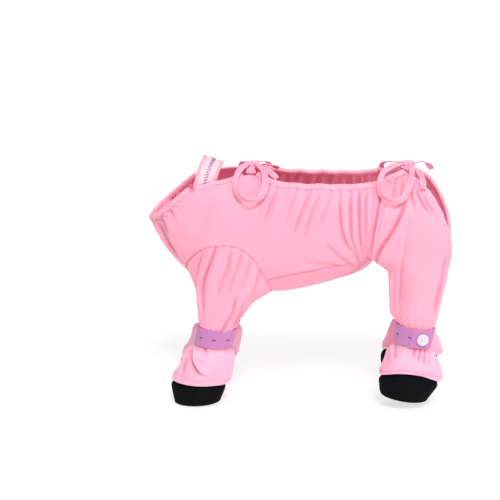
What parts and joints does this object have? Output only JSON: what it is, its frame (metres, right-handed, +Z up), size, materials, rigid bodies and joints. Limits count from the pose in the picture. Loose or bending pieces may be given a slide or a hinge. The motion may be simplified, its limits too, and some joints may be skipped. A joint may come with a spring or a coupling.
{
  "type": "dog leg cover",
  "caption": "Stretch cloth cover for a dog's body and legs, with elastic ankle cuffs, rubber boots, a neck strap and bow ties on the back.",
  "frame": {"origin": "on the symmetry plane at the line of the wearer's back, midway along the cover", "axes": "+X towards the tail, -Y towards the wearer's left, +Z up"},
  "size_m": [0.3618, 0.1518, 0.2898],
  "materials": {
    "jersey": "smooth stretch jersey",
    "casing": "gathered jersey",
    "tie": "flat jersey tie",
    "neck_elastic": "woven elastic",
    "cuff_elastic": "twill buttonhole elastic",
    "button": "pearl",
    "boot_rubber": "matt"
  },
  "bodies": {
    "root": {"body_cover": "jersey", "front_sleeve_left": "jersey", "front_sleeve_right": "jersey", "hind_sleeve_left": "jersey", "hind_sleeve_right": "jersey", "neckline_casing": "casing", "belly_casing": "casing", "back_casing_left": "casing", "back_casing_right": "casing", "hind_edge_casing_left": "casing", "hind_edge_casing_right": "casing", "shoulder_band_left": "casing", "shoulder_band_right": "casing", "neck_strap": "neck_elastic", "front_cuff_left": "cuff_elastic", "front_cuff_right": "cuff_elastic", "hind_cuff_left": "cuff_elastic", "hind_cuff_right": "cuff_elastic", "front_button_left": "button", "front_button_right": "button", "hind_button_left": "button", "hind_button_right": "button", "front_boot_left": "boot_rubber", "front_boot_right": "boot_rubber", "hind_boot_left": "boot_rubber", "hind_boot_right": "boot_rubber", "front_knot": "tie", "front_tie_strap_left": "tie", "front_tie_strap_right": "tie", "front_loop_left": "tie", "front_loop_right": "tie", "front_tail_left": "tie", "front_tail_right": "tie", "rear_knot": "tie", "rear_tie_strap_left": "tie", "rear_tie_strap_right": "tie", "rear_loop_left": "tie", "rear_loop_right": "tie", "rear_tail_left": "tie", "rear_tail_right": "tie"}
  },
  "joints": []
}
